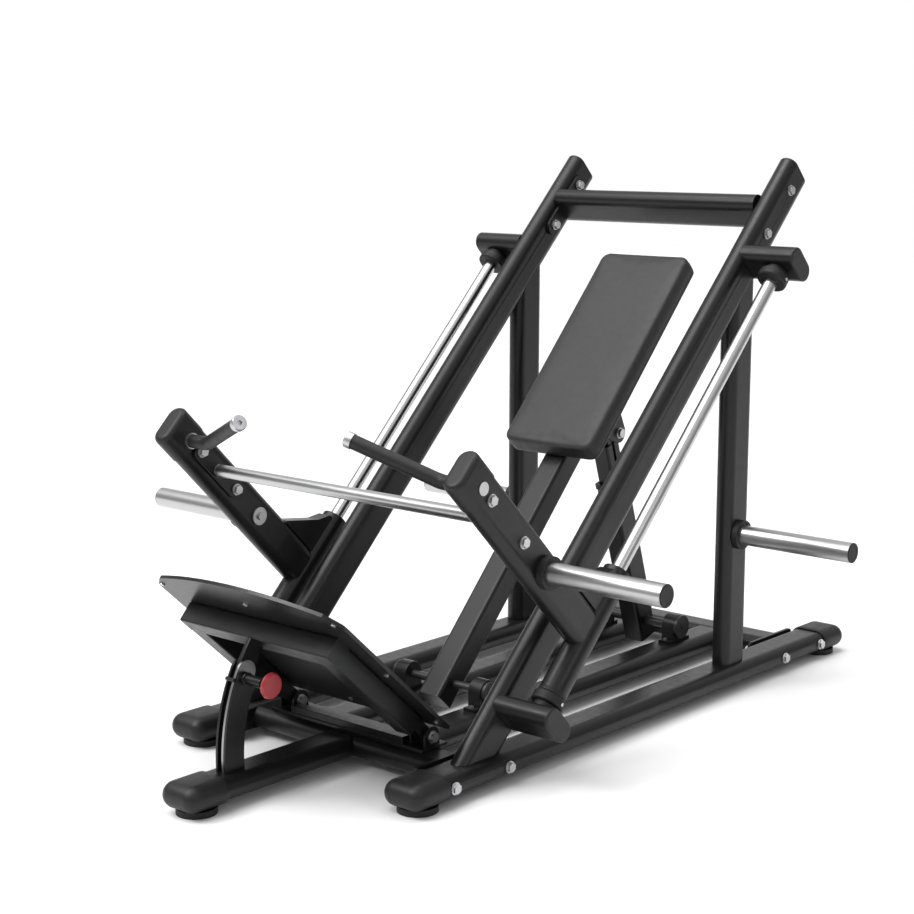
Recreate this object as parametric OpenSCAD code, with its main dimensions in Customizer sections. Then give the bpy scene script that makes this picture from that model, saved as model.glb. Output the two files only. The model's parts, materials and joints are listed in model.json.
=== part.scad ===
// 45 degree linear leg press with a plate-loaded carriage
// Millimetres. X is across the machine, +Y runs to the rear, +Z is up, the floor is Z = 0.

/* [Base frame] */
// Width of the flat-oval frame tube
tube_w = 100; // [80:1:120]
// Thickness of the flat-oval frame tube
tube_h = 50; // [40:1:60]
// Wall thickness of the frame tube
wall = 3; // [2:0.5:5]
// Distance of each base rail's centre line from the middle
rail_x = 339; // [300:1:380]
// Height of the base rails' centre line above the floor
rail_z = 43; // [38:1:60]
// Distance between the first and the last bolt of a base rail
bolt_span = 1500; // [1200:10:1700]
// Distance of each inner rail's centre line from the middle
inner_x = 118.5; // [100:0.5:150]
// Radius of a rubber foot
foot_r = 44.5; // [30:0.5:55]

/* [Incline] */
// Angle of the incline rails above the floor
incline = 45; // [35:1:50]
// Length of an incline rail, measured from the floor line to its top cap
incline_len = 1851; // [1500:1:2000]
// Distance of each guide rod from the middle
rod_x = 445; // [420:1:470]
// Diameter of the guide rods
rod_d = 34; // [25:1:40]
// Position of the lower outriggers along the incline
low_s = 218; // [200:1:260]
// Position of the upper outriggers along the incline
top_s = 1541; // [1300:1:1650]
// Position of the top crossbeam along the incline
beam_s = 1707; // [1600:1:1760]
// Distance of the outriggers' outer ends from the middle
out_x = 502; // [480:1:540]
// Distance of the uprights' centre line behind the first rail bolt
upright_y = 1118; // [1000:1:1250]

/* [Carriage] */
// Position of the arms along the incline with the carriage down
arm_s = 448; // [420:1:500]
// Height of the arm ends above the guide rods
arm_n = 600; // [500:1:700]
// Outside diameter of a slide sleeve
sleeve_d = 65; // [55:1:80]
// Distance of the weight horns' tips from the middle
horn_tip = 776; // [700:1:850]
// Diameter of the weight horns
horn_d = 50; // [48:1:50]
// Height of the weight horns above the guide rods
horn_n = 240; // [200:1:300]
// Height of the crossbar above the guide rods
bar_n = 424; // [380:1:480]
// Height of the handles above the guide rods
grip_n = 538; // [500:1:580]

/* [Backrest] */
// Width of the back pad
pad_w = 276; // [240:1:340]
// Length of the back pad
pad_len = 622; // [500:1:700]
// Thickness of the back pad
pad_t = 59; // [40:1:80]
// Angle of the backrest post above the floor
post_a = 47.1; // [44:0.1:60]
// Width of the backrest post
post_w = 67; // [50:1:80]
// Depth of the backrest post
post_d = 63; // [50:1:80]

/* [Footplate] */
// Width of the footplate
plate_w = 570; // [400:1:640]
// Length of the footplate at its sides
plate_len = 459; // [350:1:520]
// Tilt of the footplate above the floor
plate_a = 41.9; // [30:0.1:55]
// Radius of the quadrant's index holes about the footplate's hinge
index_r = 388; // [350:1:420]

/* [Hidden] */
$fn = 96;
hr = tube_h / 2;                       // radius of the tube's round sides
base_top = rail_z + hr;                // top of the base frame
front_y = -438;                        // front of the stub rail's cap
rear_y = 1628.5;                       // rear of the base rails' caps
mid_y = (front_y + rear_y) / 2;
inc_y0 = 52.8;                         // where the incline's centre line meets the floor
cap_reach = 61;                        // foot centre to the cap's end
cap_in = 34;                           // rail's end inside the cap
bolt_ys = [0, 180, bolt_span - 180, bolt_span];
rod_r = rod_d / 2;
hinge_p = [105, 95];                   // footplate hinge, Y and Z
post_p = [405, 108];                   // backrest hinge
strut_p = [1197, 108];                 // strut hinge
pivot_p = [1025.5, 642];               // strut's upper pivot
strut_v = pivot_p - strut_p;
strut_len = norm(strut_v);
strut_a = atan2(strut_v[1], strut_v[0]);
index_a = 25.6;                        // angle of the engaged index hole
black = [0.055, 0.055, 0.06];
rubber = [0.03, 0.03, 0.03];
zinc = [0.75, 0.75, 0.77];
chrome = [0.85, 0.86, 0.88];

// ---- frames of reference
module world() translate([0, -mid_y, 0]) children();
module incl() world() translate([0, inc_y0, 0]) rotate([incline, 0, 0]) children();   // y runs up the incline, z off it
module post_f() world() translate([0, post_p[0], post_p[1]]) rotate([post_a, 0, 0]) children();
module strut_f() world() translate([0, strut_p[0], strut_p[1]]) rotate([strut_a, 0, 0]) children();
module plate_f() world() translate([0, hinge_p[0], hinge_p[1]]) rotate([-plate_a, 0, 0]) children();   // y runs back down the plate, z off it
module hinge_f() world() translate([0, hinge_p[0], hinge_p[1]]) children();
module both() { children(); mirror([1, 0, 0]) children(); }

// ---- profiles
module st(w, h) {                      // flat oval
  r = min(w, h) / 2;
  if (w >= h) { translate([-(w / 2 - r), 0]) circle(r); translate([w / 2 - r, 0]) circle(r); square([w - 2 * r, h], center = true); }
  else { translate([0, -(h / 2 - r)]) circle(r); translate([0, h / 2 - r]) circle(r); square([w, h - 2 * r], center = true); }
}
module rr(w, h, r) {                   // rounded rectangle
  square([w - 2 * r, h], center = true);
  square([w, h - 2 * r], center = true);
  for (x = [-1, 1], y = [-1, 1]) translate([x * (w / 2 - r), y * (h / 2 - r)]) circle(r);
}
module st_tube(w, h, t) difference() { st(w, h); st(w - 2 * t, h - 2 * t); }
module rr_tube(w, h, r, t) difference() { rr(w, h, r); rr(w - 2 * t, h - 2 * t, r - t); }
// ---- extrusions: 2D x stays across the run
module run_x(a, b) translate([a, 0, 0]) rotate([90, 0, 90]) linear_extrude(b - a) children();   // 2D x -> y, 2D y -> z
module run_y(a, b) translate([0, a, 0]) rotate([-90, 0, 0]) linear_extrude(b - a) children();   // 2D x -> x, 2D y -> -z
module rod_xx(a, b, r) translate([a, 0, 0]) rotate([0, 90, 0]) cylinder(r = r, h = b - a);
module rod_yy(a, b, r) translate([0, a, 0]) rotate([-90, 0, 0]) cylinder(r = r, h = b - a);
module ring_xx(a, b, ro, ri) difference() { rod_xx(a, b, ro); rod_xx(a - 1, b + 1, ri); }
module ring_yy(a, b, ro, ri) difference() { rod_yy(a, b, ro); rod_yy(a - 1, b + 1, ri); }
// hex bolt along X: head outside x0 (towards +X), shank inwards to x1, nut inside
module hex_bolt(x_head, x_nut, d) {
  rod_xx(x_nut - 0.9 * d, x_head + 1, d / 2);
  translate([x_head, 0, 0]) rotate([0, 90, 0]) cylinder(r = 1.15 * d, h = 2.2);
  translate([x_head + 2.2, 0, 0]) rotate([0, 90, 0]) cylinder(r = 0.95 * d, h = 0.55 * d, $fn = 6);
}
module hex_nut(x_face, dir, d) {
  difference() {
    union() {
      translate([dir > 0 ? x_face : x_face - 2.2, 0, 0]) rotate([0, 90, 0]) cylinder(r = 1.15 * d, h = 2.2);
      translate([dir > 0 ? x_face + 2.2 : x_face - 2.2 - 0.75 * d, 0, 0]) rotate([0, 90, 0]) cylinder(r = 0.95 * d, h = 0.75 * d, $fn = 6);
    }
    rod_xx(x_face - 2 * d, x_face + 2 * d, d / 2);
  }
}

// ---- base frame
module base_rail() translate([rail_x, 0, rail_z]) difference() {
  run_y(front_y + 314 + cap_in, rear_y - cap_in) st_tube(tube_w, tube_h, wall);
  for (y = bolt_ys) translate([0, y, 0]) rod_xx(-80, 80, 6.2);
}
module base_rail_right() color(black) world() base_rail();
module base_rail_left() color(black) world() mirror([1, 0, 0]) base_rail();

flange_x = rail_x - tube_w / 2;        // inner side of the base rail
module cross_tube(y) translate([0, y, rail_z]) difference() {
  union() {
    run_x(-flange_x + 8, flange_x - 8) st_tube(tube_w, tube_h, wall);
    both() run_x(flange_x - 8, flange_x) rr(208, tube_h, 12);
  }
  for (x = [-1, 1], d = [-90, 90]) translate([x * (flange_x - 4), d, 0]) rod_xx(-10, 10, 6.2);
}
module front_cross_tube() color(black) world() cross_tube(90);
module rear_cross_tube() color(black) world() cross_tube(bolt_span - 90);
module inner_rail() difference() {
  translate([inner_x, 0, rail_z]) run_y(128, bolt_span - 128) st_tube(tube_w, tube_h, wall);
  for (y = [90, bolt_span - 90]) translate([0, y, rail_z]) run_x(0, 300) st(tube_w, tube_h);
}
module inner_rail_right() color(black) world() inner_rail();
module inner_rail_left() color(black) world() mirror([1, 0, 0]) inner_rail();
module front_stub_rail() color(black) world() difference() {
  translate([0, 0, rail_z]) run_y(front_y + cap_in, 52) st_tube(tube_w, tube_h, wall);
  translate([0, 90, rail_z]) run_x(-100, 100) st(tube_w, tube_h);
}
// wrap-round plastic cap: open side towards +y, outer end at y = 0
module base_cap() difference() {
  intersection() {
    hull() {
      for (x = [-1, 1]) translate([x * (tube_w / 2 - hr), hr + 5, 0]) sphere(r = hr + 5, $fn = 28);
      translate([0, 108, 0]) rotate([90, 0, 0]) linear_extrude(6) for (x = [-1, 1]) translate([x * (tube_w / 2 - hr), 0]) circle(hr + 4, $fn = 28);
    }
    translate([-100, -10, -hr - 4]) cube([200, 140, 2 * hr + 12]);
  }
  run_y(cap_in, 200) st(tube_w + 0.6, tube_h + 0.6);
}
module end_plug(w, h, t) hull() {      // domed plug lying in the x-y plane
  linear_extrude(t - 2.5) st(w, h);
  linear_extrude(t) st(w - 6, h - 6);
}
module tube_end_caps() color(rubber) {
  world() {
    translate([0, front_y, rail_z]) base_cap();
    both() translate([rail_x, front_y + 314, rail_z]) base_cap();
    both() translate([rail_x, rear_y, rail_z]) mirror([0, 1, 0]) base_cap();
  }
  incl() {
    both() translate([rail_x, incline_len - 7, 0]) rotate([-90, 0, 0]) end_plug(tube_h, tube_w, 7);
    for (s = [low_s, top_s]) both() translate([out_x - 7, s, 0]) rotate([90, 0, 90]) end_plug(tube_h, tube_w, 7);
  }
}
module rubber_feet() color(rubber) world() {
  foot_h = rail_z - hr - 4;
  translate([0, front_y + cap_reach, 0]) cylinder(r = foot_r, h = foot_h);
  both() translate([rail_x, front_y + 314 + cap_reach, 0]) cylinder(r = foot_r, h = foot_h);
  both() translate([rail_x, rear_y - cap_reach, 0]) cylinder(r = foot_r, h = foot_h);
}
// ---- bolts, nuts and set screws of the fixed frame
module frame_fasteners() color(zinc) {
  world() both() for (y = bolt_ys) translate([0, y, rail_z]) {
    hex_bolt(rail_x + tube_w / 2, flange_x - 8, 12);
    hex_nut(flange_x - 8, -1, 12);
  }
  incl() both() for (d = [-74, 74]) translate([0, beam_s + d, 3]) {
    hex_bolt(rail_x + hr, rail_x - hr - 8, 12);
    hex_nut(rail_x - hr - 8, -1, 12);
  }
  incl() both() for (s = [low_s + hr + 24, top_s - hr - 24]) translate([rod_x + rod_r, s, 0]) rod_xx(0, 22, 4);
  world() both() for (p = [post_p, strut_p], d = [-39.5, 39.5]) translate([inner_x, p[0] + d, base_top + 8]) cylinder(r = 6.5, h = 5, $fn = 6);
}

// ---- incline, uprights, crossbeam
module incline_shape() run_y(20, incline_len - 7) st(tube_h, tube_w);
module incline_rail() difference() {
  incl() translate([rail_x, 0, 0]) difference() {
    run_y(20, incline_len - 7) st_tube(tube_h, tube_w, wall);
    for (d = [-74, 74]) translate([0, beam_s + d, 3]) rod_xx(-40, 40, 6.2);
  }
  world() translate([rail_x - 60, -300, -200]) cube([120, 900, 200 + base_top]);
}
module incline_rail_right() color(black) incline_rail();
module incline_rail_left() color(black) mirror([1, 0, 0]) incline_rail();
module upright() difference() {
  world() translate([rail_x, upright_y, base_top]) linear_extrude(1100) st_tube(tube_h - 0.6, tube_w, wall);
  incl() translate([rail_x, 0, 0]) {
    rod_y_cut();
    translate([-60, 0, -hr]) cube([120, 2200, 900]);
  }
}
module rod_y_cut() translate([0, 0, -hr]) rod_yy(0, 2200, hr);
module upright_right() color(black) upright();
module upright_left() color(black) mirror([1, 0, 0]) upright();
module top_crossbeam() color(black) incl() translate([0, beam_s, 3]) difference() {
  union() {
    run_x(-(rail_x - hr - 8), rail_x - hr - 8) st_tube(tube_h, tube_w, wall);
    both() run_x(rail_x - hr - 8, rail_x - hr) union() { st(206, 44); st(tube_h, tube_w); }
  }
  for (d = [-74, 74]) translate([0, d, 0]) for (x = [-1, 1]) translate([x * (rail_x - hr - 4), 0, 0]) rod_xx(-12, 12, 6.2);
}
module outrigger(s) difference() {
  translate([0, s, 0]) run_x(rail_x + 13, out_x - 7) st_tube(tube_h, tube_w, wall);
  translate([rail_x, 0, 0]) incline_shape();
}
module upper_outriggers() color(black) incl() both() outrigger(top_s);
module lower_outriggers() color(black) incl() both() outrigger(low_s);
module collar(s, d) translate([rod_x, s, 0]) rotate([d > 0 ? -90 : 90, 0, 0]) difference() {
  rotate_extrude() polygon([[0, 0], [28, 0], [28, 12], [34.5, 12], [37.5, 15], [37.5, 33], [34.5, 36], [0, 36]]);
  translate([0, 0, -1]) cylinder(r = rod_r, h = 40);
  translate([0, 0, 24]) rotate([0, 90, 0]) cylinder(r = 4.1, h = 50);
}
module rod_collars() color(rubber) incl() both() { collar(low_s + hr, 1); collar(top_s - hr, -1); }
module guide_rod() incl() translate([rod_x, 0, 0]) rod_yy(low_s + hr, top_s - hr, rod_r);
module guide_rod_right() color(chrome) guide_rod();
module guide_rod_left() color(chrome) mirror([1, 0, 0]) guide_rod();

// ---- plate storage horns
st_horn_z = 405;
st_horn_tip = 685;
horn_wall = 4;
module horn_tube(a, b, c) difference() {   // c = length of the seat inside the collar
  union() { rod_xx(a, b - 1, horn_d / 2 - 1); rod_xx(a + c, b, horn_d / 2); }
  rod_xx(a + 8, b + 1, horn_d / 2 - horn_wall);
}
module horn_plug(b) { rod_xx(b - 14, b - 1, horn_d / 2 - horn_wall); }
module storage_horn() world() translate([0, upright_y, st_horn_z]) horn_tube(rail_x + hr - 0.3, st_horn_tip, 14.3);
module storage_horn_right() color(chrome) storage_horn();
module storage_horn_left() color(chrome) mirror([1, 0, 0]) storage_horn();
module storage_horn_trim() color(rubber) world() translate([0, upright_y, st_horn_z]) both() { ring_xx(rail_x + hr - 0.3, rail_x + hr + 14, 37, horn_d / 2 - 1); horn_plug(st_horn_tip); }

// ---- footplate quadrant and hinge bracket on the base
// sector of a ring in the y-z plane about the hinge, ahead of it, between two angles
module sector2d(r1, r2, a1, a2) intersection() {
  difference() { circle(r2); circle(r1); }
  polygon([[0, 0], for (k = [0:8]) let (a = a1 + (a2 - a1) * k / 8) [-700 * cos(a), 700 * sin(a)]]);
}
module quad_shape(r1, r2, a2, round_end) {
  sector2d(r1, r2, -8, a2);
  if (round_end) translate([-(r1 + r2) / 2 * cos(a2), (r1 + r2) / 2 * sin(a2)]) circle((r2 - r1) / 2);
}
module at_angle(a, r) rotate([-a, 0, 0]) translate([0, -r, 0]) children();   // a point ahead of the hinge
module tie_pins(r, x0, x1) hinge_f() for (a = [24.2]) at_angle(a, 417) rod_xx(x0, x1, r);
module below_base() world() translate([-100, -500, -200]) cube([200, 500, 200 + base_top]);
module angle_quadrant() color(black) {
  difference() {
    hinge_f() run_x(9, 15) quad_shape(360, 414, 24, false);
    below_base();
    at_index() rod_xx(0, 40, 5.3);
    tie_pins(4.6, 0, 20);
  }
  difference() {
    hinge_f() run_x(-15, -9) quad_shape(362, 414, 27.7, true);
    below_base();
    tie_pins(4.6, -20, 0);
  }
  difference() {
    tie_pins(4.4, -13, 13);
    at_index() rod_xx(0, 40, 5.3);
  }
}
module quadrant_index_plate() color(zinc) difference() {
  hinge_f() run_x(3, 9) quad_shape(362, 414, 27.7, true);
  below_base();
  tie_pins(4.6, 0, 20);
  at_index() rod_xx(0, 40, 5.3);
}
module ear2d() { circle(24); translate([-24, -hinge_p[1] + base_top + 7]) square([48, hinge_p[1] - base_top - 7]); }
module footplate_hinge_bracket() color(black) world() {
  translate([0, hinge_p[0], hinge_p[1]]) difference() {
    union() {
      translate([-238, -42, -hinge_p[1] + base_top]) cube([476, 84, 8]);
      both() { run_x(182, 188) ear2d(); run_x(224, 230) ear2d(); }
      translate([-176, -39, -hinge_p[1] + base_top + 7]) cube([352, 28, 17]);
    }
    rod_xx(-300, 300, 8.05);
  }
}
module pivot_bearings() color(black) world() both() for (p = [[post_p, 30, 10], [strut_p, 32, 12]]) translate([inner_x, p[0][0], p[0][1]]) difference() {
  union() {
    rod_xx(-18, 18, p[1]);
    translate([-18, -47, base_top - p[0][1]]) cube([36, 94, 8]);
    translate([-18, -p[1], base_top - p[0][1]]) cube([36, 2 * p[1], p[0][1] - base_top]);
  }
  rod_xx(-40, 40, p[2] + 0.05);
}

// ---- footplate
module plate2d() hull() {              // x across, y up the plate from its lower edge
  translate([-plate_w / 2, 0]) square([plate_w, 40]);
  for (x = [-1, 1]) translate([x * (plate_w / 2 - 26), plate_len - 34]) circle(26, $fn = 64);
  intersection() {
    translate([0, plate_len + 49 - 853]) circle(853, $fn = 256);
    translate([-(plate_w / 2 - 34), 200]) square([plate_w - 68, 400]);
  }
}
sheet_n = 17.5;                        // underside of the sheet above the hinge line
sheet_t = 8;
sheet_low = -27.5;                     // lower edge of the sheet ahead of the hinge, along the plate
module on_sheet() plate_f() translate([0, sheet_low, sheet_n]) children();
module footplate_sheet() color([0.07, 0.07, 0.075]) on_sheet() difference() {
  rotate([0, 0, 180]) linear_extrude(sheet_t) plate2d();
  for (p = screw_ps) translate([p[0], p[1], -1]) cylinder(r = 3.2, h = 7);
}
screw_ps = [[-265, -442.5], [4, -442.5], [265, -442.5], [-265, -234], [265, -234], [-265, -25], [265, -25], [8, -26.5]];
module footplate_screws() color(zinc) on_sheet() for (p = screw_ps) translate([p[0], p[1], 0]) {
  translate([0, 0, -1]) cylinder(r = 3, h = 6.5);
  translate([0, 0, -3]) cylinder(r = 5.5, h = 3);
}
bar_w = 48;                            // under-frame box section
bar_h = 48;
bar_z = sheet_n - bar_h / 2;
frame_out = 229;
frame_top = -406;                      // front face of the front bar along the plate
side_end = -62.5;                      // lower end of the side bars
module footplate_frame() color(black) plate_f() difference() {
  union() {
    translate([0, frame_top + bar_w / 2, bar_z]) run_x(-frame_out, frame_out) rr(bar_w, bar_h, 4);
    both() translate([frame_out - bar_w / 2, 0, bar_z]) run_y(frame_top + bar_w - 6, side_end) rr(bar_w, bar_h, 4);
    both() run_x(189.5, 222.5) { circle(16); translate([side_end - 4, -14]) square([-side_end + 4, 28]); }
  }
  translate([0, frame_top + bar_w / 2, bar_z]) run_x(-frame_out + 3, frame_out - 3) rr(bar_w - 6, bar_h - 6, 2);
  both() translate([frame_out - bar_w / 2, 0, bar_z]) run_y(frame_top + bar_w + 2, side_end - 4) rr(bar_w - 6, bar_h - 6, 2);
  rod_xx(-300, 300, 8.05);
}
module footplate_hinge_bolts() color(zinc) hinge_f() {
  for (m = [[230, 182, 1], [-182, -230, -1]]) {
    rod_xx(m[1] - 11, m[0] + 1, 8);
    rod_xx(m[0], m[0] + 2, 14);
    translate([m[0] + 2, 0, 0]) rotate([0, 90, 0]) cylinder(r = 11, h = 8);
    translate([m[1] - 9, 0, 0]) rotate([0, 90, 0]) cylinder(r = 13, h = 9, $fn = 6);
  }
}
// curved tongue between the quadrant plates, hanging from the front bar, with a hole every 5 degrees
module footplate_lock_lug() color(black) difference() {
  hinge_f() run_x(-8, 2.4) sector2d(364, 408, 13.3, 40);
  plate_f() translate([-40, -500, bar_z - bar_h / 2]) cube([80, 300, 200]);
  hinge_f() for (k = [-1:2]) at_angle(index_a - 5 * k, index_r) rod_xx(-30, 30, 5.6);
}
// ---- pull pin
module at_index() hinge_f() at_angle(index_a, index_r) children();
module plunger_housing() color(black) at_index() difference() {
  union() {
    rod_xx(15, 21, 15);
    rod_xx(20, 66, 11.5);
  }
  rod_xx(14, 20.6, 5.3);
  rod_xx(20, 60, 8.6);
  rod_xx(59, 70, 5.3);
}
module plunger_pin() color(zinc) at_index() { rod_xx(3.4, 93, 5); rod_xx(34, 38, 8); }
module plunger_spring() color(zinc) at_index() ring_xx(38.2, 59.6, 7.9, 5.7);
module plunger_knob() color([0.72, 0.06, 0.08]) at_index() translate([81, 0, 0]) rotate([0, 90, 0]) difference() {
  rotate_extrude() polygon([[0, 0], [11, 0], [11, 4], [24, 4], [28, 7], [28, 12], [25, 15.5], [0, 17]]);
  translate([0, 0, -1]) cylinder(r = 5, h = 13);
}

// ---- carriage
sleeve_a = low_s + hr + 36 + 1;        // lower end of the carriage at rest
sleeve_b = 613;
module sleeve() incl() translate([rod_x, 0, 0]) ring_yy(sleeve_a + 8, sleeve_b, sleeve_d / 2, 25);
module slide_sleeve_right() color(black) sleeve();
module slide_sleeve_left() color(black) mirror([1, 0, 0]) sleeve();
module linear_bushes() color([0.86, 0.85, 0.8]) incl() both() for (s = [sleeve_a + 8, sleeve_b - 60]) translate([rod_x, 0, 0]) ring_yy(s, s + 60, 25, rod_r + 0.06);
module sleeve_bumpers() color(rubber) incl() both() translate([rod_x, 0, 0]) ring_yy(sleeve_a, sleeve_a + 8, sleeve_d / 2 + 0.5, rod_r + 1.2);
module carriage_arm() incl() translate([rod_x, arm_s, 0]) difference() {
  union() {
    translate([0, 0, 20]) linear_extrude(arm_n - 12 - 20) st(tube_h, tube_w);
    translate([-20, 0, 0]) run_x(0, 40) polygon([[45, 20], [150, 20], [150, 37], [118, 62], [50, 150], [45, 150]]);
  }
  translate([0, 0, 60]) linear_extrude(arm_n) st(tube_h - 6, tube_w - 6);
  rod_yy(-300, 300, sleeve_d / 2);
  translate([0, 0, horn_n]) rod_xx(-40, 40, 12.2);
  translate([0, 0, grip_n]) rod_xx(-40, 40, 8.2);
  for (d = [-74, 74]) translate([0, 0, bar_n + d]) rod_xx(-40, 40, 6.2);
}
module carriage_arm_right() color(black) carriage_arm();
module carriage_arm_left() color(black) mirror([1, 0, 0]) carriage_arm();
module arm_end_caps() color(rubber) incl() both() translate([rod_x, arm_s, 0]) difference() {
  hull() {
    translate([0, 0, 521]) linear_extrude(arm_n - 521 - 12, $fn = 32) st(tube_h + 4, tube_w + 4);
    translate([0, 0, 560]) linear_extrude(arm_n - 560 - 5, $fn = 32) st(tube_h - 1, tube_w - 1);
    translate([0, 0, 560]) linear_extrude(arm_n - 560 - 1.5, $fn = 32) st(tube_h - 10, tube_w - 10);
    translate([0, 0, 560]) linear_extrude(arm_n - 560, $fn = 32) st(tube_h - 20, tube_w - 20);
  }
  translate([0, 0, 500]) linear_extrude(arm_n - 12 - 500) st(tube_h, tube_w);
  translate([0, 0, grip_n]) rod_xx(-60, 60, 19.5);
}
arm_in = rod_x - hr;                   // inner face of an arm
arm_out = rod_x + hr;
module carriage_crossbar() color(chrome) incl() translate([0, arm_s, bar_n]) difference() {
  union() {
    rod_xx(-(arm_in - 8), arm_in - 8, 15);
    both() translate([arm_in - 8, 0, 0]) rotate([90, 0, 90]) linear_extrude(8) st(44, 190);
  }
  for (d = [-74, 74], x = [-1, 1]) translate([x * (arm_in - 4), 0, d]) rod_xx(-12, 12, 6.2);
}
module carriage_fasteners() color(zinc) incl() both() {
  for (d = [-74, 74]) translate([0, arm_s, bar_n + d]) { hex_bolt(arm_out, arm_in - 8, 12); hex_nut(arm_in - 8, -1, 12); }
  translate([0, arm_s, horn_n]) { rod_xx(arm_in - 5, arm_in, 22); rod_xx(arm_in - 12, arm_in - 5, 9); }
  translate([0, arm_s, grip_n]) rod_xx(arm_out, arm_out + 4, 14.5);
}
module weight_horn() incl() translate([0, arm_s, horn_n]) union() { horn_tube(arm_out, horn_tip, 16); rod_xx(arm_in, arm_out + 1, 12); }
module weight_horn_right() color(chrome) weight_horn();
module weight_horn_left() color(chrome) mirror([1, 0, 0]) weight_horn();
module weight_horn_trim() color(rubber) incl() translate([0, arm_s, horn_n]) both() { ring_xx(arm_out, arm_out + 16, 37, horn_d / 2 - 1); horn_plug(horn_tip); }
bend_x = 360;
grip_v = [163 - bend_x, 648.6 - grip_n];   // straight part, across and off the incline
grip_len = norm(grip_v);
grip_a = atan2(grip_v[1], -grip_v[0]);
module grip_f() translate([bend_x, arm_s, grip_n]) rotate([0, -90 + grip_a, 0]) children();   // z runs out along the grip
bend_r = 40;                           // bend radius of the handle's tube
bend_t = bend_r * tan(grip_a / 2);
module handle() incl() union() {
  translate([0, arm_s, grip_n]) rod_xx(bend_x + bend_t, arm_in, 12.5);
  translate([0, arm_s, grip_n]) rod_xx(arm_in - 8, arm_in, 19);
  translate([0, arm_s, grip_n]) rod_xx(arm_in - 1, arm_out, 8);
  translate([bend_x + bend_t, arm_s, grip_n + bend_r]) rotate([90, 0, 0]) rotate([0, 0, -93 - grip_a]) rotate_extrude(angle = grip_a + 6) translate([bend_r, 0]) circle(12.8);
  grip_f() translate([0, 0, bend_t]) cylinder(r = 12.5, h = grip_len - 16 - bend_t);
}
module handle_right() color(black) handle();
module handle_left() color(black) mirror([1, 0, 0]) handle();
module elbow(r) translate([bend_x + bend_t, arm_s, grip_n + bend_r]) rotate([90, 0, 0]) rotate([0, 0, -93 - grip_a]) rotate_extrude(angle = grip_a + 6) translate([bend_r, 0]) circle(r);
module handle_grips() color(rubber) incl() both() difference() {
  union() {
    translate([0, arm_s, grip_n]) rod_xx(bend_x + bend_t, arm_in - 8, 16);
    elbow(16.3);
    grip_f() translate([0, 0, bend_t]) cylinder(r = 16, h = grip_len - 16 - bend_t);
  }
  translate([0, arm_s, grip_n]) rod_xx(bend_x + bend_t, arm_in, 12.5);
  elbow(12.8);
  grip_f() translate([0, 0, bend_t]) cylinder(r = 12.5, h = grip_len);
}
module handle_end_caps() color([0.8, 0.8, 0.82]) incl() both() grip_f() translate([0, 0, grip_len - 16]) difference() {
  rotate_extrude() polygon([[0, 0], [18, 0], [18, 13], [16, 16], [0, 16]]);
  translate([0, 0, 9]) cylinder(r = 6, h = 20, $fn = 6);
}

// ---- backrest: y runs up the post from its hinge, z towards the user
pad_y = 643;
module backrest_post() color([0.16, 0.16, 0.165]) post_f() difference() {
  union() {
    run_y(-53, 1150) rr(post_w, post_d, 9);
    for (x = [-1, 1]) translate([x * 49 - 4, 0, 0]) run_x(0, 8) bracket2d();
    translate([0, pad_y + 170, -post_d / 2 - 3]) cube([106, 100, 7], center = true);
  }
  run_y(40, 1147) rr(post_w - 2 * wall, post_d - 2 * wall, 6);
  rod_xx(-60, 60, 10);
  translate([0, pad_y + 170.6, -91.1]) rod_xx(-80, 80, 8);
}
module bracket2d() difference() {
  translate([pad_y + 170.6, 0]) union() {
    translate([0, -91.1]) circle(26);
    polygon([[-50, -post_d / 2 - 6], [50, -post_d / 2 - 6], [25, -97], [-25, -97]]);
  }
}
module shaft(r, cap) { rod_xx(-(inner_x + 24), inner_x + 24, r); both() rod_xx(inner_x + 18.3, inner_x + 27, cap); both() rod_xx(inner_x + 27, inner_x + 30, 6); }
module backrest_shaft() color(zinc) post_f() shaft(10, 26);
module pad_shape(w, l, t, r) linear_extrude(t) rr(w, l, r);
module back_pad() color([0.2, 0.2, 0.205]) post_f() translate([0, pad_y + pad_len / 2, post_d / 2]) difference() {
  pad_shape(pad_w, pad_len, pad_t, 24);
  translate([0, 0, -1]) pad_shape(pad_w - 36, pad_len - 36, 13, 12);
}
module pad_board() color([0.55, 0.42, 0.28]) post_f() translate([0, pad_y + pad_len / 2, post_d / 2]) pad_shape(pad_w - 36, pad_len - 36, 12, 12);

// ---- telescoping strut: y runs up the strut from its hinge
module strut_outer() color(black) strut_f() difference() {
  union() {
    run_y(-50, 405) rr(60, 70, 8);
    run_y(405, 418) rr(66, 76, 10);
  }
  run_y(36, 400) rr(54, 64, 5);
  run_y(399, 420) rr(50.7, 54.7, 6);
  rod_xx(-60, 60, 12);
}
module strut_shaft() color(zinc) strut_f() shaft(12, 31);
module strut_inner() color(black) strut_f() difference() {
  union() {
    run_y(160, strut_len - 34) rr(50, 54, 6);
    run_x(-22, 22) { translate([strut_len - 60, -15]) square([60, 30]); translate([strut_len, 0]) circle(15); }
  }
  run_y(100, strut_len - 70) rr(44, 48, 3);
  translate([0, strut_len, 0]) rod_xx(-60, 60, 10.5);
  // adjusting slot in the right-hand side
  translate([20, strut_len - 120, -5]) cube([20, 90, 10]);
  for (y = [0, 90]) translate([0, strut_len - 120 + y, 0]) rod_xx(20, 40, 5);
}
module strut_pivot_bolt() color(zinc) post_f() translate([0, pad_y + 170.6, -91.1]) {
  rod_xx(-56, 54, 8);
  rod_xx(53, 55.5, 14);
  translate([55.5, 0, 0]) rotate([0, 90, 0]) cylinder(r = 11.5, h = 8.5);
  translate([-66, 0, 0]) rotate([0, 90, 0]) cylinder(r = 13, h = 13, $fn = 6);
}

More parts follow.
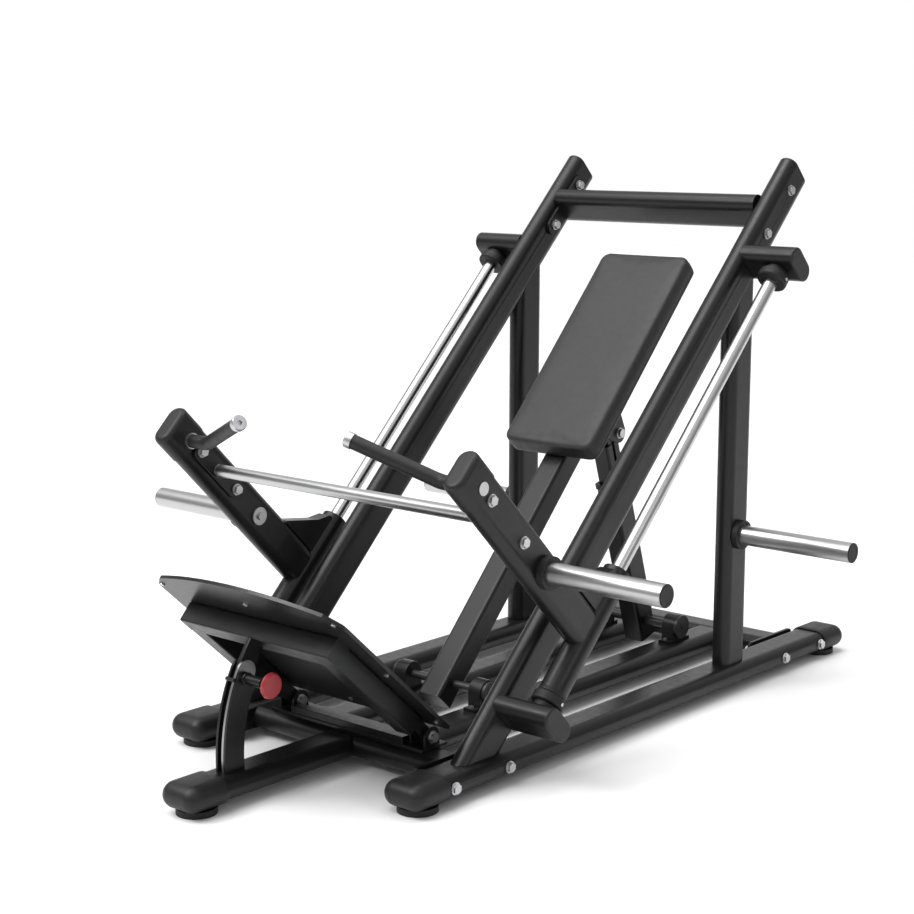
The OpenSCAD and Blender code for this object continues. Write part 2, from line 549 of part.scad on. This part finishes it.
base_rail_left();
base_rail_right();
front_cross_tube();
rear_cross_tube();
inner_rail_left();
inner_rail_right();
front_stub_rail();
tube_end_caps();
rubber_feet();
frame_fasteners();
incline_rail_left();
incline_rail_right();
upright_left();
upright_right();
top_crossbeam();
upper_outriggers();
lower_outriggers();
rod_collars();
guide_rod_left();
guide_rod_right();
storage_horn_left();
storage_horn_right();
storage_horn_trim();
angle_quadrant();
quadrant_index_plate();
footplate_hinge_bracket();
pivot_bearings();
footplate_sheet();
footplate_frame();
footplate_screws();
footplate_lock_lug();
footplate_hinge_bolts();
plunger_housing();
plunger_pin();
plunger_knob();
plunger_spring();
slide_sleeve_left();
slide_sleeve_right();
linear_bushes();
sleeve_bumpers();
carriage_arm_left();
carriage_arm_right();
arm_end_caps();
carriage_crossbar();
carriage_fasteners();
weight_horn_left();
weight_horn_right();
weight_horn_trim();
handle_left();
handle_right();
handle_grips();
handle_end_caps();
backrest_post();
backrest_shaft();
back_pad();
pad_board();
strut_outer();
strut_shaft();
strut_inner();
strut_pivot_bolt();
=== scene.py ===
import bpy, bmesh, math, json
from mathutils import Vector, Matrix


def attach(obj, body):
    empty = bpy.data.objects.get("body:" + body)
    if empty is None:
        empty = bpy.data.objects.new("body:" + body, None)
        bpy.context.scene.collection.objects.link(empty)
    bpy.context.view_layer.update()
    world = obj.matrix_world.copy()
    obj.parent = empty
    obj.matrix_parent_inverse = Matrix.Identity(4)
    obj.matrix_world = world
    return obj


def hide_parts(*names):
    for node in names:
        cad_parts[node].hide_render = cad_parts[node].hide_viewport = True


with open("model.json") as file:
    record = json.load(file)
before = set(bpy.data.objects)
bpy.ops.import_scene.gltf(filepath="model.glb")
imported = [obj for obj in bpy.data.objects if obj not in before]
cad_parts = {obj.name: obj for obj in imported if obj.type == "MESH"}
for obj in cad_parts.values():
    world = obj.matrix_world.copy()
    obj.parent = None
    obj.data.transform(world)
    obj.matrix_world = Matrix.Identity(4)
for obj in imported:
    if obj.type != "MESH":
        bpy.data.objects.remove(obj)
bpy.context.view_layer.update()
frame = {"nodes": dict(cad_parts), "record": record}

scene = bpy.context.scene
PI = math.pi

# ------------------------------------------------------------------ camera
MID = 0.59525
az, el, roll = math.radians(41.074), math.radians(9.877), math.radians(0.122)
fwd = Vector((-math.sin(az) * math.cos(el), math.cos(az) * math.cos(el), -math.sin(el)))
right = Vector((math.cos(az), math.sin(az), 0.0))
up = right.cross(fwd)
r2 = right * math.cos(roll) + up * math.sin(roll)
u2 = r2.cross(fwd)
cam_data = bpy.data.cameras.new("camera")
cam_data.lens, cam_data.sensor_width = 73.222, 36.0
cam_data.clip_end = 60.0
cam = bpy.data.objects.new("camera", cam_data)
cam.matrix_world = Matrix(((r2.x, u2.x, -fwd.x, 2.8448), (r2.y, u2.y, -fwd.y, -2.8146 - MID), (r2.z, u2.z, -fwd.z, 1.4017), (0, 0, 0, 1)))
scene.collection.objects.link(cam)
scene.camera = cam

# ------------------------------------------------------------------ studio
def add_obj(name, mesh, mats=(), smooth=None):
    o = bpy.data.objects.new(name, mesh)
    scene.collection.objects.link(o)
    for m in mats:
        mesh.materials.append(m)
    if smooth is not None:
        mesh.shade_smooth() if hasattr(mesh, "shade_smooth") else None
        for p in mesh.polygons:
            p.use_smooth = True
        if smooth:
            sharp_edges(mesh, smooth)
    return o

def sharp_edges(mesh, deg):
    bm = bmesh.new(); bm.from_mesh(mesh)
    lim = math.radians(deg)
    for e in bm.edges:
        e.smooth = not (len(e.link_faces) == 2 and e.calc_face_angle(0.0) > lim)
    bm.to_mesh(mesh); bm.free()

world = bpy.data.worlds.new("studio"); scene.world = world
world.use_nodes = True
wt = world.node_tree; bg = wt.nodes["Background"]
bg.inputs["Color"].default_value = (1.0, 1.0, 1.0, 1)
# white behind the machine, a greyer room round the sides with a bright ceiling
wc = wt.nodes.new("ShaderNodeTexCoord")
wd = wt.nodes.new("ShaderNodeVectorMath"); wd.operation = "DOT_PRODUCT"; wd.inputs[1].default_value = fwd
wt.links.new(wc.outputs["Generated"], wd.inputs[0])
wr = wt.nodes.new("ShaderNodeMapRange"); wr.interpolation_type = "SMOOTHSTEP"
for k, v in (("From Min", 0.55), ("From Max", 0.90), ("To Min", 0.0), ("To Max", 1.0)): wr.inputs[k].default_value = v
wt.links.new(wd.outputs["Value"], wr.inputs["Value"])
ws = wt.nodes.new("ShaderNodeSeparateXYZ"); wt.links.new(wc.outputs["Generated"], ws.inputs[0])
wz = wt.nodes.new("ShaderNodeMapRange"); wz.interpolation_type = "SMOOTHSTEP"
for k, v in (("From Min", 0.25), ("From Max", 0.95), ("To Min", 0.38), ("To Max", 0.95)): wz.inputs[k].default_value = v
wt.links.new(ws.outputs["Z"], wz.inputs["Value"])
wm = wt.nodes.new("ShaderNodeMath"); wm.operation = "MAXIMUM"
wt.links.new(wr.outputs["Result"], wm.inputs[0]); wt.links.new(wz.outputs["Result"], wm.inputs[1])
wt.links.new(wm.outputs["Value"], bg.inputs["Strength"])
sun_d = bpy.data.lights.new("overhead_sun", "SUN"); sun_d.energy = 2.3; sun_d.angle = math.radians(50)
sun = bpy.data.objects.new("overhead_sun", sun_d); sun.rotation_euler = (math.radians(24), math.radians(-16), 0); scene.collection.objects.link(sun)

def area(name, loc, target, size, size_y, power):
    d = bpy.data.lights.new(name, "AREA"); d.shape = "RECTANGLE"; d.size = size; d.size_y = size_y; d.energy = power
    o = bpy.data.objects.new(name, d); o.location = loc
    o.rotation_euler = (Vector(target) - Vector(loc)).to_track_quat("-Z", "Y").to_euler()
    scene.collection.objects.link(o)
    return o
area("key_softbox", (-2.2, -3.6, 4.2), (0, 0, 0.6), 1.6, 1.4, 70)
area("fill_softbox", (4.6, -0.6, 2.6), (0, 0.1, 0.6), 1.2, 2.0, 12)
area("top_softbox", (0.2, 0.6, 4.8), (0, 0.1, 0.5), 2.4, 1.6, 50)

# ------------------------------------------------------------------ materials
def nodes_of(m):
    m.use_nodes = True
    nt = m.node_tree
    return nt, nt.nodes, nt.links, nt.nodes["Principled BSDF"]

def noise_node(nt, vec, scale, detail=3.0, rough=0.55, stretch=None):
    n = nt.nodes.new("ShaderNodeTexNoise")
    n.inputs["Scale"].default_value = scale; n.inputs["Detail"].default_value = detail; n.inputs["Roughness"].default_value = rough
    if stretch:
        mp = nt.nodes.new("ShaderNodeMapping"); mp.inputs["Scale"].default_value = stretch
        nt.links.new(vec, mp.inputs["Vector"]); vec = mp.outputs["Vector"]
    nt.links.new(vec, n.inputs["Vector"])
    return n

def remap(nt, sock, lo, hi, a=0.3, b=0.7):
    r = nt.nodes.new("ShaderNodeMapRange")
    r.inputs["From Min"].default_value = a; r.inputs["From Max"].default_value = b
    r.inputs["To Min"].default_value = lo; r.inputs["To Max"].default_value = hi
    nt.links.new(sock, r.inputs["Value"])
    return r.outputs["Result"]

def mix_col(nt, fac, c1, c2):
    m = nt.nodes.new("ShaderNodeMix"); m.data_type = "RGBA"
    for i, c in (("A", c1), ("B", c2)):
        s = [k for k in m.inputs if k.name == i and k.type == "RGBA"][0]
        if isinstance(c, (tuple, list)):
            s.default_value = (c[0], c[1], c[2], 1)
        else:
            nt.links.new(c, s)
    f = [k for k in m.inputs if k.name == "Factor" and k.type == "VALUE"][0]
    nt.links.new(fac, f)
    return [k for k in m.outputs if k.type == "RGBA"][0]

def bump(nt, sock, strength, dist, prev=None):
    b = nt.nodes.new("ShaderNodeBump")
    b.inputs["Strength"].default_value = strength; b.inputs["Distance"].default_value = dist
    nt.links.new(sock, b.inputs["Height"])
    if prev is not None:
        nt.links.new(prev, b.inputs["Normal"])
    return b.outputs["Normal"]

def material(name, col, rough, metal=0.0, var=0.12, rvar=0.06, fine=(900.0, 0.08, 0.0002), coarse=(30.0, 0.04, 0.0006),
             stretch=None, coat=0.0, wear=None, wear_w=0.0012, spec=0.32, grain=None):
    m = bpy.data.materials.new(name)
    nt, N, L, p = nodes_of(m)
    tc = N.new("ShaderNodeTexCoord").outputs["Object"]
    big = noise_node(nt, tc, 5.0, 4.0)
    mid = noise_node(nt, tc, 60.0, 3.0)
    fin = noise_node(nt, tc, fine[0], 2.0, stretch=stretch)
    dark = tuple(c * (1 - var) for c in col); light = tuple(min(1, c * (1 + var)) for c in col)
    c = mix_col(nt, remap(nt, big.outputs["Fac"], 0, 1), dark, light)
    if wear is not None:
        bv = N.new("ShaderNodeBevel"); bv.samples = 4; bv.inputs["Radius"].default_value = wear_w
        g = N.new("ShaderNodeNewGeometry")
        dt = N.new("ShaderNodeVectorMath"); dt.operation = "DOT_PRODUCT"
        L.new(bv.outputs["Normal"], dt.inputs[0]); L.new(g.outputs["Normal"], dt.inputs[1])
        e = remap(nt, dt.outputs["Value"], 1.0, 0.0, 0.75, 0.985)
        mu = N.new("ShaderNodeMath"); mu.operation = "MULTIPLY"
        L.new(e, mu.inputs[0]); L.new(remap(nt, mid.outputs["Fac"], 0.0, 1.0, 0.35, 0.65), mu.inputs[1])
        c = mix_col(nt, mu.outputs["Value"], c, wear)
    L.new(c, p.inputs["Base Color"])
    L.new(remap(nt, mid.outputs["Fac"], rough - rvar, rough + rvar), p.inputs["Roughness"])
    p.inputs["Metallic"].default_value = metal
    p.inputs["Specular IOR Level"].default_value = spec
    if coat:
        p.inputs["Coat Weight"].default_value = coat; p.inputs["Coat Roughness"].default_value = 0.12
    nrm = bump(nt, fin.outputs["Fac"], fine[1], fine[2])
    if coarse:
        cn = noise_node(nt, tc, coarse[0], 2.0)
        nrm = bump(nt, cn.outputs["Fac"], coarse[1], coarse[2], nrm)
    if grain:
        v = N.new("ShaderNodeTexVoronoi"); v.feature = "DISTANCE_TO_EDGE"; v.inputs["Scale"].default_value = grain[0]
        L.new(tc, v.inputs["Vector"])
        nrm = bump(nt, remap(nt, v.outputs["Distance"], 0.0, 1.0, 0.0, 0.25), grain[1], grain[2], nrm)
    L.new(nrm, p.inputs["Normal"])
    return m

PAINT = material("powder_coat_black", (0.0065, 0.0065, 0.007), 0.33, var=0.15, rvar=0.05, fine=(1100.0, 0.10, 0.00025), coarse=(45.0, 0.05, 0.0006), wear=(0.035, 0.035, 0.037))
PAINT2 = material("powder_coat_post", (0.0095, 0.0095, 0.010), 0.33, var=0.15, rvar=0.05, fine=(1100.0, 0.10, 0.00025), coarse=(45.0, 0.05, 0.0006), wear=(0.04, 0.04, 0.042))
PLAST = material("cap_plastic_black", (0.011, 0.011, 0.0115), 0.44, var=0.12, rvar=0.05, fine=(700.0, 0.16, 0.0003), coarse=(160.0, 0.05, 0.0003), wear=(0.03, 0.03, 0.03))
RUBBER = material("rubber_black", (0.010, 0.010, 0.010), 0.58, var=0.2, rvar=0.07, fine=(520.0, 0.25, 0.0004), coarse=(90.0, 0.06, 0.0005))
GRIP = material("grip_rubber", (0.011, 0.011, 0.0115), 0.5, var=0.2, rvar=0.07, fine=(420.0, 0.3, 0.0004), coarse=(120.0, 0.06, 0.0004), grain=(650.0, 0.25, 0.0002))
ZINC = material("zinc_plated_steel", (0.52, 0.52, 0.53), 0.35, metal=1.0, var=0.12, rvar=0.05, fine=(300.0, 0.1, 0.0002), coarse=(80.0, 0.05, 0.0002), wear=(0.75, 0.75, 0.76), wear_w=0.0008)
CHROME = material("hard_chrome", (0.48, 0.48, 0.485), 0.31, metal=1.0, var=0.03, rvar=0.012, fine=(34.0, 0.012, 0.0002), coarse=None)
ROD = material("ground_rod_chrome", (0.50, 0.50, 0.505), 0.22, metal=1.0, var=0.03, rvar=0.012, fine=(30.0, 0.012, 0.0002), coarse=None)
ALU = material("turned_aluminium", (0.50, 0.50, 0.51), 0.35, metal=1.0, var=0.06, rvar=0.05, fine=(700.0, 0.12, 0.0002), coarse=None, wear=(0.9, 0.9, 0.9), wear_w=0.0008)
STEEL = material("bright_steel_plate", (0.34, 0.34, 0.345), 0.35, metal=1.0, var=0.1, rvar=0.05, fine=(500.0, 0.12, 0.0002), coarse=(60.0, 0.05, 0.0004))
RED = material("red_knob_plastic", (0.30, 0.018, 0.022), 0.36, var=0.08, rvar=0.05, fine=(600.0, 0.08, 0.0002), coarse=(90.0, 0.04, 0.0003), coat=0.25)
VINYL = material("dark_grey_vinyl", (0.031, 0.031, 0.032), 0.5, var=0.06, rvar=0.05, fine=(1500.0, 0.18, 0.0002), coarse=(14.0, 0.03, 0.001), grain=(520.0, 0.35, 0.00022))
WOOD = material("backing_board", (0.22, 0.15, 0.085), 0.65, var=0.25, rvar=0.08, fine=(90.0, 0.3, 0.0004), coarse=(300.0, 0.1, 0.0002), stretch=(8.0, 0.7, 0.7))
# painted shade: a darker copy of the grey vinyl that stands in for the shade on the pad's sides
BAND_PAINTED_SHADE = material("vinyl_side_band_painted_shade", (0.0125, 0.0125, 0.013), 0.46, var=0.08, rvar=0.05, fine=(1500.0, 0.18, 0.0002), coarse=(14.0, 0.03, 0.001), grain=(520.0, 0.35, 0.00022))
BUSH = material("bearing_plastic", (0.55, 0.54, 0.5), 0.5, var=0.06)
SHEET = material("footplate_black_gloss", (0.009, 0.009, 0.0096), 0.31, var=0.10, rvar=0.015, fine=(1400.0, 0.02, 0.0001), coarse=None)
SHAFT = material("dark_oiled_shaft", (0.05, 0.05, 0.052), 0.36, metal=0.6, var=0.12, rvar=0.05, fine=(500.0, 0.12, 0.0002), coarse=None)
def crossbar_material():
    m = material("crossbar_chrome_and_paint", (0.48, 0.48, 0.485), 0.31, metal=1.0, var=0.03, rvar=0.012, fine=(34.0, 0.012, 0.0002), coarse=None)
    nt = m.node_tree; p = nt.nodes["Principled BSDF"]; L = nt.links
    tc = [n for n in nt.nodes if n.bl_idname == "ShaderNodeTexCoord"][0]
    sx = nt.nodes.new("ShaderNodeSeparateXYZ"); L.new(tc.outputs["Object"], sx.inputs[0])
    ab = nt.nodes.new("ShaderNodeMath"); ab.operation = "ABSOLUTE"; L.new(sx.outputs["X"], ab.inputs[0])
    gt = nt.nodes.new("ShaderNodeMath"); gt.operation = "GREATER_THAN"; gt.inputs[1].default_value = 0.4118; L.new(ab.outputs[0], gt.inputs[0])
    old = p.inputs["Base Color"].links[0].from_socket
    L.new(mix_col(nt, gt.outputs[0], old, (0.0075, 0.0075, 0.008)), p.inputs["Base Color"])
    mt = nt.nodes.new("ShaderNodeMath"); mt.operation = "SUBTRACT"; mt.inputs[0].default_value = 1.0; L.new(gt.outputs[0], mt.inputs[1]); L.new(mt.outputs[0], p.inputs["Metallic"])
    return m
CROSSBAR = crossbar_material()

BY_SLOT = {"frame_paint": PAINT, "cap_plastic": PLAST, "black_rubber": RUBBER, "zinc_steel": ZINC, "chrome_steel": CHROME,
           "turned_aluminium": ALU, "bright_steel": STEEL, "red_plastic": RED, "grey_vinyl": VINYL, "plywood": WOOD, "bush_plastic": BUSH}
SPECIAL = {"carriage_crossbar": CROSSBAR, "guide_rod_left": ROD, "guide_rod_right": ROD, "footplate_sheet": SHEET, "backrest_post": PAINT2, "backrest_shaft": SHAFT, "strut_shaft": SHAFT, "handle_grips": GRIP}
slot_of = {s["node"]: s["material_slot"] for s in frame["record"]["subparts"]}
NO_BEVEL = {"guide_rod_left", "guide_rod_right", "back_pad", "pad_board", "linear_bushes", "plunger_spring", "tube_end_caps", "arm_end_caps"}
for n, o in frame["nodes"].items():
    m = SPECIAL.get(n, BY_SLOT[slot_of[n]])
    if o.data.materials:
        for i in range(len(o.data.materials)):
            o.data.materials[i] = m
    else:
        o.data.materials.append(m)
    if n not in NO_BEVEL:
        w = o.modifiers.new("weld", "WELD"); w.merge_threshold = 0.00002
        b = o.modifiers.new("edge", "BEVEL"); b.width = 0.0011; b.segments = 2; b.limit_method = "ANGLE"; b.angle_limit = math.radians(38)
        b.harden_normals = False
        wn = o.modifiers.new("normals", "WEIGHTED_NORMAL"); wn.keep_sharp = True; wn.weight = 80

# ------------------------------------------------------------------ frames of reference
def T(p): return Matrix.Translation(Vector(p))
def RX(d): return Matrix.Rotation(math.radians(d), 4, "X")
INCL = T((0, 0.0528 - MID, 0)) @ RX(45.0)
POST = T((0, 0.405 - MID, 0.108)) @ RX(47.1)
PLATE = T((0, 0.105 - MID, 0.095)) @ RX(-41.9)
RAIL_Z = 0.043

def stadium(w, h, n=14):
    """flat oval outline with corners of radius min/2, counter-clockwise, list of (x, y)"""
    r = min(w, h) / 2; pts = []
    if w >= h:
        for c, a0 in ((w / 2 - r, -PI / 2), (-(w / 2 - r), PI / 2)):
            for i in range(n + 1):
                a = a0 + PI * i / n; pts.append((c + r * math.cos(a), r * math.sin(a)))
    else:
        for c, a0 in ((h / 2 - r, 0.0), (-(h / 2 - r), PI)):
            for i in range(n + 1):
                a = a0 + PI * i / n; pts.append((r * math.cos(a), c + r * math.sin(a)))
    return pts

def loft(name, rings, mats, cap0=True, cap1=True, smooth=40):
    """rings: lists of Vectors, all the same length"""
    bm = bmesh.new(); vr = [[bm.verts.new(v) for v in r] for r in rings]; k = len(rings[0])
    for a, b in zip(vr, vr[1:]):
        for i in range(k):
            bm.faces.new((a[i], a[(i + 1) % k], b[(i + 1) % k], b[i]))
    if cap0: bm.faces.new(list(reversed(vr[0])))
    if cap1: bm.faces.new(vr[-1])
    bmesh.ops.recalc_face_normals(bm, faces=bm.faces)
    me = bpy.data.meshes.new(name); bm.to_mesh(me); bm.free()
    return add_obj(name, me, mats, smooth)

def fillet_steps(r, n=7):
    """(distance from the end, inset) pairs of a quarter round, from the end inwards"""
    return [(r * (1 - math.cos(PI / 2 * i / n)), r * (1 - math.sin(PI / 2 * i / n))) for i in range(n + 1)]

# ---- moulded end caps
def base_cap(name, x, y_end, sgn):
    """sgn +1: closed end at y_end, running towards +y"""
    W, H, R, RL = 0.110, 0.060, 0.0285, 0.0275
    rings = []
    def ring(d, ins, insl, grow=0.0):
        ring_pts = []
        for (px, pz) in stadium(W - 2 * ins, H - 2 * ins, 16):
            if pz < 0:
                f = (H / 2 - 0.001 - insl) / (H / 2 - ins)
                pz *= f
            ring_pts.append(Vector((x + px, y_end + sgn * d, RAIL_Z + pz)))
        return ring_pts
    low = dict((round(a, 6), b) for a, b in fillet_steps(RL))
    for d, ins in fillet_steps(R):
        t = min(1.0, d / RL); insl = RL * (1 - math.sqrt(max(0.0, 1 - (1 - t) ** 2)))
        rings.append(ring(d, ins, insl))
    for d in (0.045, 0.075, 0.098):
        rings.append(ring(d, 0, 0))
    rings.append(ring(0.1055, 0.0006, 0.0006)); rings.append(ring(0.108, 0.0022, 0.0022)); rings.append(ring(0.108, 0.0052, 0.0042))
    o = loft(name, rings, [PLAST], True, True, 50)
    return o
caps = []
for nm, x, y, s in (("front_stub_cap", 0, -0.438 - MID, 1), ("front_rail_cap_right", 0.339, -0.124 - MID, 1), ("front_rail_cap_left", -0.339, -0.124 - MID, 1),
                    ("rear_rail_cap_right", 0.339, 1.6285 - MID, -1), ("rear_rail_cap_left", -0.339, 1.6285 - MID, -1)):
    caps.append(base_cap(nm, x, y, s))

def plug(name, frame_m, w, h, length, lip=0.0, r=0.004, mats=(PLAST,)):
    """cap with a rounded edge and a flat top over a tube end; local z points out of the tube, z = 0 is the outer end"""
    rings = []
    for d, ins in fillet_steps(r):
        crown = 0.0
        rings.append([frame_m @ Vector((px, py, -d + crown)) for px, py in stadium(w + 2 * lip - 2 * ins, h + 2 * lip - 2 * ins, 16)])
    rings.append([frame_m @ Vector((px, py, -length)) for px, py in stadium(w + 2 * lip, h + 2 * lip, 16)])
    # flat inner rings at z = 0 fill the middle
    inner = []
    for k, (f, z) in enumerate(((0.75, 0.0), (0.4, 0.0))):
        inner.append([frame_m @ Vector((px, py, z)) for px, py in stadium(w + 2 * lip - 2 * r - 0.012 * (k + 1), h + 2 * lip - 2 * r - 0.012 * (k + 1), 16)])
    rings = inner[::-1] + rings
    o = loft(name, rings, list(mats), True, True, 50)
    return o
for sx, side in ((1, "right"), (-1, "left")):
    f = INCL @ T((sx * 0.339, 1.851, 0)) @ Matrix.Rotation(-PI / 2, 4, "X")
    caps.append(plug("incline_cap_" + side, f, 0.050, 0.100, 0.007))
    for s, nm in ((0.218, "lower"), (1.541, "upper")):
        f = INCL @ T((sx * 0.502, s, 0)) @ Matrix(((0, 0, sx, 0), (1, 0, 0, 0), (0, sx, 0, 0), (0, 0, 0, 1)))
        caps.append(plug(nm + "_outrigger_cap_" + side, f, 0.050, 0.100, 0.007))
for o in caps:
    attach(o, "base")
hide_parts("tube_end_caps")
for sx, side in ((1, "right"), (-1, "left")):
    f = INCL @ T((sx * 0.445, 0.448, 0.600))
    o = plug("arm_cap_" + side, f, 0.050, 0.100, 0.079, lip=0.002, r=0.013)
    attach(o, "carriage")
    if sx == 1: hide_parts("arm_end_caps")

# ---- flanged plugs that close the horns' bores and cover their rims
def horn_end(name, frame_m, tip, sx, body):
    prof = [(-0.0008, 0.0185), (0.0, 0.0205), (0.0002, 0.0244), (0.0012, 0.0248), (0.0019, 0.0244), (0.0023, 0.0234), (0.0023, 0.0195), (0.0019, 0.0170), (0.0019, 0.0060)]
    rings = []
    for dx, rad in prof:
        rings.append([frame_m @ Vector((sx * (tip + dx), rad * math.cos(2 * PI * i / 48), rad * math.sin(2 * PI * i / 48))) for i in range(48)])
    o = loft(name, rings, [RUBBER], True, True, 50)
    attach(o, body)
for sx, side in ((1, "right"), (-1, "left")):
    horn_end("weight_horn_plug_" + side, INCL @ T((0, 0.448, 0.240)), 0.776, sx, "carriage")
    horn_end("storage_horn_plug_" + side, T((0, 1.118 - MID, 0.405)), 0.685, sx, "base")

# ---- back pad: upholstered, blown up by a short cloth run and held to a few millimetres
def back_pad():
    W, Lh, TH = 0.2785, 0.6215, 0.0550
    bm = bmesh.new(); n = 8
    def outline(ins, r, z):
        pts = []
        for cx, cy, a0 in ((1, 1, 0), (-1, 1, 90), (-1, -1, 180), (1, -1, 270)):
            for i in range(n + 1):
                a = math.radians(a0 + 90 * i / n)
                pts.append(Vector((cx * (W / 2 - ins - r) + r * math.cos(a), cy * (Lh / 2 - ins - r) + r * math.sin(a), z)))
        return pts
    layers = [(0.006, 0.020, 0.0), (0.0022, 0.022, 0.0016), (0.0006, 0.024, 0.008), (0.0, 0.024, TH - 0.009), (0.0008, 0.024, TH - 0.0045), (0.0030, 0.022, TH - 0.0012), (0.007, 0.02, TH)]
    rings = [[bm.verts.new(v) for v in outline(*l)] for l in layers]
    k = len(rings[0])
    for a, b in zip(rings, rings[1:]):
        for i in range(k): bm.faces.new((a[i], a[(i + 1) % k], b[(i + 1) % k], b[i]))
    bm.faces.new(list(reversed(rings[0]))); bm.faces.new(rings[-1])
    bmesh.ops.triangulate(bm, faces=[f for f in bm.faces if len(f.verts) > 4])
    bmesh.ops.recalc_face_normals(bm, faces=bm.faces)
    me = bpy.data.meshes.new("back_cushion"); bm.to_mesh(me); bm.free()
    o = add_obj("back_cushion", me, [VINYL])
    rm = o.modifiers.new("remesh", "REMESH"); rm.mode = "VOXEL"; rm.voxel_size = 0.0055
    bpy.context.view_layer.objects.active = o
    dg = bpy.context.evaluated_depsgraph_get()
    me2 = bpy.data.meshes.new_from_object(o.evaluated_get(dg)); o.modifiers.clear(); o.data = me2
    if not me2.materials: me2.materials.append(VINYL)
    start = [v.co.copy() for v in me2.vertices]
    g = o.vertex_groups.new(name="held")
    g.add([i for i, c in enumerate(start) if c.z < 0.006], 1.0, "REPLACE")
    c = o.modifiers.new("cloth", "CLOTH"); s = c.settings
    s.quality = 5; s.mass = 0.35; s.tension_stiffness = 12; s.compression_stiffness = 12; s.shear_stiffness = 6; s.bending_stiffness = 1.2
    s.use_pressure = True; s.uniform_pressure_force = 4.0; s.vertex_group_mass = "held"
    s.effector_weights.gravity = 0.0
    c.collision_settings.use_collision = False
    for fr in range(1, 21):
        scene.frame_set(fr)
    dg = bpy.context.evaluated_depsgraph_get()
    ev = o.evaluated_get(dg).to_mesh()
    moved = [v.co.copy() for v in ev.vertices]
    o.evaluated_get(dg).to_mesh_clear()
    o.modifiers.clear()
    scene.frame_set(1)
    for v, a, b in zip(me2.vertices, start, moved):
        d = b - a
        # crown: free to swell on the front, tight at the board
        u, w = a.x / (W / 2), a.y / (Lh / 2)
        dome = max(0.0, 1 - u * u) ** 0.5 * max(0.0, 1 - w ** 4) ** 0.5
        cap = (0.0045 if a.z > TH * 0.6 else 0.003) * (0.35 + 0.65 * dome)
        if d.length > cap: d *= cap / d.length
        v.co = a + d
    o.vertex_groups.clear()
    # ease the voxel steps
    bm = bmesh.new(); bm.from_mesh(me2)
    for _ in range(2):
        bmesh.ops.smooth_vert(bm, verts=[v for v in bm.verts if v.co.z > 0.004], factor=0.5, use_axis_x=True, use_axis_y=True, use_axis_z=True)
    # sewn seam where the face panel meets the side band, and a second one at the back edge
    for v in bm.verts:
        c = v.co
        if c.z > 0.004:
            for zz, dep in ((TH - 0.0125, 0.0011), (0.013, 0.0009)):
                f = math.exp(-((c.z - zz) / 0.0022) ** 2)
                side = Vector((c.x / (W / 2), c.y / (Lh / 2), 0))
                if max(abs(side.x), abs(side.y)) > 0.9:
                    nrm = v.normal.copy(); v.co -= nrm * dep * f
    bm.to_mesh(me2); bm.free()
    # painted shade: the side band polygons below the face take the darker copy of the vinyl
    me2.materials.append(BAND_PAINTED_SHADE)
    for p in me2.polygons:
        p.use_smooth = True
        if p.center.z < TH - 0.0085: p.material_index = 1
    sub = o.modifiers.new("subdivision", "SUBSURF"); sub.levels = 1; sub.render_levels = 1
    o.matrix_world = POST @ T((0, 0.643 + 0.311, 0.0318))
    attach(o, "backrest"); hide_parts("back_pad")
    return o
pad = back_pad()

# ---- floor
fl = bpy.data.meshes.new("floor")
fl.from_pydata([(-14, -12, 0), (14, -12, 0), (14, 16, 0), (-14, 16, 0)], [], [(0, 1, 2, 3)])
floor = bpy.data.objects.new("floor", fl); scene.collection.objects.link(floor)
FLOOR = material("pale_floor", (0.86, 0.86, 0.86), 0.6, var=0.01, rvar=0.03, fine=(80.0, 0.02, 0.0003), coarse=None)
fl.materials.append(FLOOR)
scene.view_settings.view_transform = "Standard"
